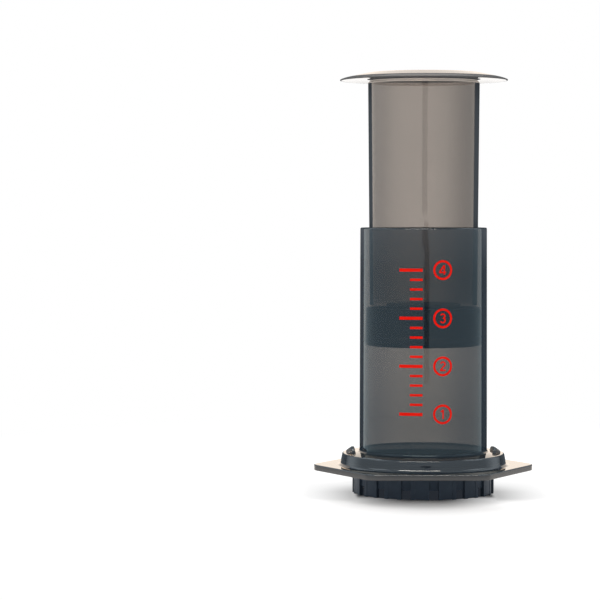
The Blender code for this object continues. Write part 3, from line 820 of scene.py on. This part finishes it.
def plunger_looks():
    """The plunger's materials, in the order of its slots."""
    wall = smoke(
        "plunger_wall",
        tint=[(0.0, (0.697, 0.672, 0.647)), (0.11, (0.665, 0.642, 0.62)), (0.28, (0.606, 0.585, 0.568)),
              (0.50, (0.56, 0.545, 0.535)), (0.60, (0.57, 0.555, 0.545)), (0.64, (0.02, 0.025, 0.03))],
        body=BROWN, cover=[(0.0, 0.10), (0.60, 0.14), (0.64, 0.93)],
        gloss=[(0.0, 1.0), (0.60, 1.0), (0.64, 0.0)], roughness=0.03, head_on=0.055, lean=PAINTED_SHADE_LEAN)
    top = smoke(
        "plunger_top", tint=[(0.0, (0.80, 0.77, 0.75)), (1.0, (0.66, 0.63, 0.60))], body=(0.13, 0.12, 0.11),
        cover=[(0.0, 0.40), (1.0, 0.50)], gloss=[(0.0, 1.0), (0.7, 1.2), (1.0, 1.5)], shine=(1.0, 0.90, 0.80))
    bore = smoke(
        "plunger_bore",
        tint=[(0.0, (0.90, 0.87, 0.85)), (0.60, (0.86, 0.84, 0.82)), (1.0, (0.75, 0.74, 0.73))],
        body=BROWN, cover=[(0.0, 0.05), (1.0, 0.10)], gloss=[(0.0, 0.3), (0.6, 0.4), (0.8, 0.9), (1.0, 0.9)])
    # dark, nearly opaque plastic; on the flange's outer band and edge it is painted shade
    dark = smoke(
        "plunger_dark", tint=[(0.0, grey(0.50)), (1.0, grey(0.30))], body=(0.110, 0.115, 0.120),
        cover=[(0.0, 0.85), (1.0, 0.94)], gloss=[(0.0, 0.3), (1.0, 0.02)])
    under = smoke(
        "plunger_under",
        tint=[(0.0, (0.75, 0.73, 0.71)), (0.85, (0.80, 0.78, 0.76)), (0.93, (0.97, 0.95, 0.93))],
        body=(0.16, 0.155, 0.15), cover=[(0.0, 0.45), (0.85, 0.35), (0.93, 0.10)],
        gloss=[(0.0, 1.0), (0.85, 1.0), (0.92, 1.3), (1.0, 1.3)], shine=(1.0, 0.98, 0.96))
    # painted light on the neck and the round under the flange
    lip = smoke(
        "plunger_lip_painted_light", tint=[(0.0, (0.90, 0.87, 0.85)), (1.0, (0.80, 0.77, 0.75))], body=(0.95, 0.87, 0.80),
        cover=[(0.0, 0.80), (0.6, 0.80), (0.8, 0.45)], gloss=[(0.0, 1.0), (1.0, 1.0)], head_on=0.14)
    step = smoke(
        "plunger_step", tint=[(0.0, (0.82, 0.80, 0.78)), (1.0, (0.86, 0.84, 0.82))],
        body=BROWN, cover=[(0.0, 0.08), (1.0, 0.12)], gloss=[(0.0, 0.2), (0.7, 0.1), (1.0, 0.03)])
    return wall, top, bore, dark, under, lip, step


# Studio

def light(name, place, aim, size, power, color=(1, 1, 1)):
    lamp = bpy.data.lights.new(name, "AREA")
    lamp.shape = "RECTANGLE"
    lamp.size, lamp.size_y = size
    lamp.energy = power
    lamp.color = color
    made = placed(name, lamp)
    made.location = place
    made.rotation_euler = (Vector(aim) - Vector(place)).to_track_quat("-Z", "Y").to_euler()


def shown(tree):
    """1 for what the camera, a reflection or clear plastic sees directly, 0 for light on the object."""
    path = node(tree, "ShaderNodeLightPath").outputs
    first = calculate(tree, "MAXIMUM", path["Is Camera Ray"], path["Is Glossy Ray"])
    return calculate(tree, "MAXIMUM", first, path["Is Transmission Ray"])


def make_world():
    """An even light on the object, from a world that shows white."""
    world = bpy.data.worlds.new("studio")
    bpy.context.scene.world = world
    world.use_nodes = True
    tree = world.node_tree
    tree.nodes.clear()
    ambient = node(tree, "ShaderNodeBackground", {"Color": WHITE, "Strength": 0.55})
    white = node(tree, "ShaderNodeBackground", {"Color": WHITE, "Strength": 1.0})
    both = mix_shaders(tree, shown(tree), ambient.outputs[0], white.outputs[0])
    node(tree, "ShaderNodeOutputWorld", {"Surface": both})


def floor_material():
    """Paper that keeps the object's shadow close to it, with painted shadow in its colour there, painted
    glows beside and under the cap, and white further out.
    """
    material, tree, shader = new_material("floor_paper")
    seen = shown(tree)

    def times(first, second):
        return calculate(tree, "MULTIPLY", first, second)

    def soft(value, start, end, low=0.0, high=1.0):
        return spread(tree, value, low, high, start, end, smoothly=True)

    def hump(value, rise, fall, peak=1.0, rest=0.0):
        """Rises to a peak over one stretch, and falls to a share of it over another."""
        return times(soft(value, *rise, 0.0, peak), soft(value, *fall, 1.0, rest))

    def length(vector):
        return node(tree, "ShaderNodeVectorMath", {0: vector}, operation="LENGTH").outputs["Value"]

    center, squeeze = (0, 0.010, 0), (1.0, 0.80, 1.0)
    oval = node(tree, "ShaderNodeMapping", {"Location": center, "Scale": squeeze, "Vector": place_on(tree)})
    away = length(oval.outputs["Vector"])
    radial = length(place_on(tree))
    to_right = place_along(tree, "X")
    across = calculate(tree, "ABSOLUTE", to_right)
    along = place_along(tree, "Y")

    # painted shadow and light: the colour darkens near the cap, and emitted glows leave the shadow deepest in
    # front of the cap's middle, paler to both sides, more so on the right
    shade = mix_colors(tree, soft(away, 0.030, 0.050), grey(0.52), grey(0.81))
    glow = soft(away, 0.031, 0.068, 0.0, 0.32)
    corners = times(hump(across, (0.006, 0.034), (0.034, 0.048), 0.26, 0.3),
                    hump(along, (-0.058, -0.028), (-0.030, -0.016)))
    right = times(hump(to_right, (0.006, 0.026), (0.034, 0.055), 0.17),
                  hump(along, (-0.072, -0.050), (-0.030, -0.018)))
    glow = calculate(tree, "ADD", calculate(tree, "ADD", glow, corners), right)
    feed(tree, shader, {"Base Color": shade, "Roughness": 0.9, "Specular IOR Level": 0.0,
                        "Emission Color": WHITE, "Emission Strength": times(glow, seen)})

    # painted light: an emitted glow on the floor at both sides of the cap, under the flange
    side = times(hump(across, (0.0325, 0.0352), (0.056, 0.066), 0.90),
                 hump(along, (-0.042, -0.024), (0.035, 0.055)))
    near = spread(tree, across, 1.0, 0.0, 0.0366, 0.0666)
    loss = times(spread(tree, along, 0.46, 0.06, 0.000, 0.036), times(near, near))
    gleam = node(tree, "ShaderNodeEmission", {"Strength": calculate(tree, "SUBTRACT", 1.0, loss)})
    # painted light: a faint emitted glow on the floor inside the ring of grips
    inside = soft(radial, 0.0332, 0.0345, 1.0, 0.0)
    dusk = node(tree, "ShaderNodeEmission", {"Color": (0.020, 0.024, 0.031, 1.0)})
    # further out the floor is as white as the world
    far = soft(away, 0.10, 0.35)
    white = node(tree, "ShaderNodeEmission")
    surface = shader.outputs["BSDF"]
    for share, other in ((side, gleam), (inside, dusk), (far, white)):
        surface = mix_shaders(tree, times(share, seen), surface, other.outputs["Emission"])
    tree.links.new(surface, tree.nodes["Material Output"].inputs["Surface"])
    return material


def make_floor():
    """Round floor, a hair below the feet."""
    shape = bmesh.new()
    bmesh.ops.create_circle(shape, cap_ends=True, segments=96, radius=4.0)
    floor = placed("floor", finished("floor", shape))
    floor.location.z = -0.05 * MM
    floor.data.materials.append(floor_material())


def make_card(name, corners, level, color=(1, 1, 1)):
    """Card off to one side, seen only in reflections. level is its brightness, where the world's is 1."""
    mesh = bpy.data.meshes.new(name)
    mesh.from_pydata(corners, [], [(0, 1, 3, 2)])
    card = placed(name, mesh)
    material, tree, shader = new_material(name)
    feed(tree, shader, {"Base Color": (0.0, 0.0, 0.0, 1.0), "Specular IOR Level": 0.0,
                        "Emission Color": (*color, 1.0), "Emission Strength": level})
    mesh.materials.append(material)
    card.visible_camera = False
    card.visible_diffuse = False
    card.visible_transmission = False
    card.visible_shadow = False


def upright(x0, x1, y, low, high):
    return [(x0, y, low), (x0, y, high), (x1, y, low), (x1, y, high)]


def make_cards():
    """Two grey cards that make the dark stripes, and a warm box above that makes the highlights."""
    make_card("card_upper", upright(-0.204, 0.170, -2.0, 0.095, 0.312), 0.10)
    make_card("card_lower", upright(-0.020, 0.090, -0.72, 0.009, 0.118), 0.10)
    soft_box = [(-0.85, -0.92, 1.16), (-0.85, -1.08, 0.84), (0.45, -0.92, 1.16), (0.45, -1.08, 0.84)]
    make_card("card_soft_box", soft_box, 18.0, (1.0, 0.85, 0.71))


def make_camera():
    data = bpy.data.cameras.new("camera")
    data.lens = 144.46
    data.sensor_width = 36.0
    data.clip_start, data.clip_end = 0.05, 20.0
    camera = placed("camera", data)
    camera.location = (-0.06169, -1.20241, 0.14458)
    camera.rotation_euler = (math.radians(90 - 2.3034), 0, 0)
    bpy.context.scene.camera = camera


def make_lights():
    light("key", (-0.20, -1.00, 1.00), aim=(0, 0, 0.08), size=(1.3, 0.45), power=4.6, color=(1.0, 0.96, 0.92))
    light("left", (-1.00, -0.30, 0.75), aim=(0, 0, 0.10), size=(0.6, 0.6), power=2.0)
    light("right", (1.05, -0.10, 0.75), aim=(0, 0, 0.10), size=(0.6, 0.6), power=2.0)
    light("back", (0.0, 0.85, 0.95), aim=(0, 0, 0.06), size=(0.9, 0.5), power=7.0)


def dress():
    """Put the detailed pieces in the nodes' places, each on its node's body."""
    black = solid("cap_black", (0.049, 0.070, 0.101), (0.056, 0.081, 0.116),
                  rough=(0.30, 0.42), grain_scale=1800.0, bump=0.10, specular=0.12)
    rubber = solid("seal_black", (0.010, 0.011, 0.013), (0.014, 0.015, 0.017),
                   rough=(0.45, 0.6), grain_scale=1400.0, bump=0.12, specular=0.3)
    paper = solid("filter_white", (0.86, 0.85, 0.82), (0.80, 0.79, 0.76),
                  rough=(0.85, 0.95), grain_scale=2200.0, bump=0.35, specular=0.1)
    red = solid("print_red", (0.90, 0.010, 0.003), (0.83, 0.008, 0.003),
                rough=(0.45, 0.6), grain_scale=2600.0, bump=0.08, specular=0.04)
    for piece, looks, node_name, body, slot in (
        (make_chamber(), chamber_looks(), "chamber", "chamber_body", "smoke_plastic"),
        (make_plunger(), plunger_looks(), "plunger", "plunger_body", "smoke_plastic"),
        (make_seal(), (rubber,), "seal", "seal_body", "rubber"),
        (make_cap(), (black,), "filter_cap", "cap_body", "black_plastic"),
        (make_paper(), (paper,), "paper_filter", "cap_body", "paper"),
    ):
        for material in looks:
            piece.data.materials.append(material)
        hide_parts(node_name)
        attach(piece, body)
    for mark in make_marks():
        mark.data.materials.append(red)
        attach(mark, "chamber_body")


def build():
    dress()
    make_world()
    make_floor()
    make_cards()
    make_camera()
    make_lights()
    scene = bpy.context.scene
    scene.view_settings.view_transform = "Standard"
    scene.cycles.transparent_max_bounces = 32


build()
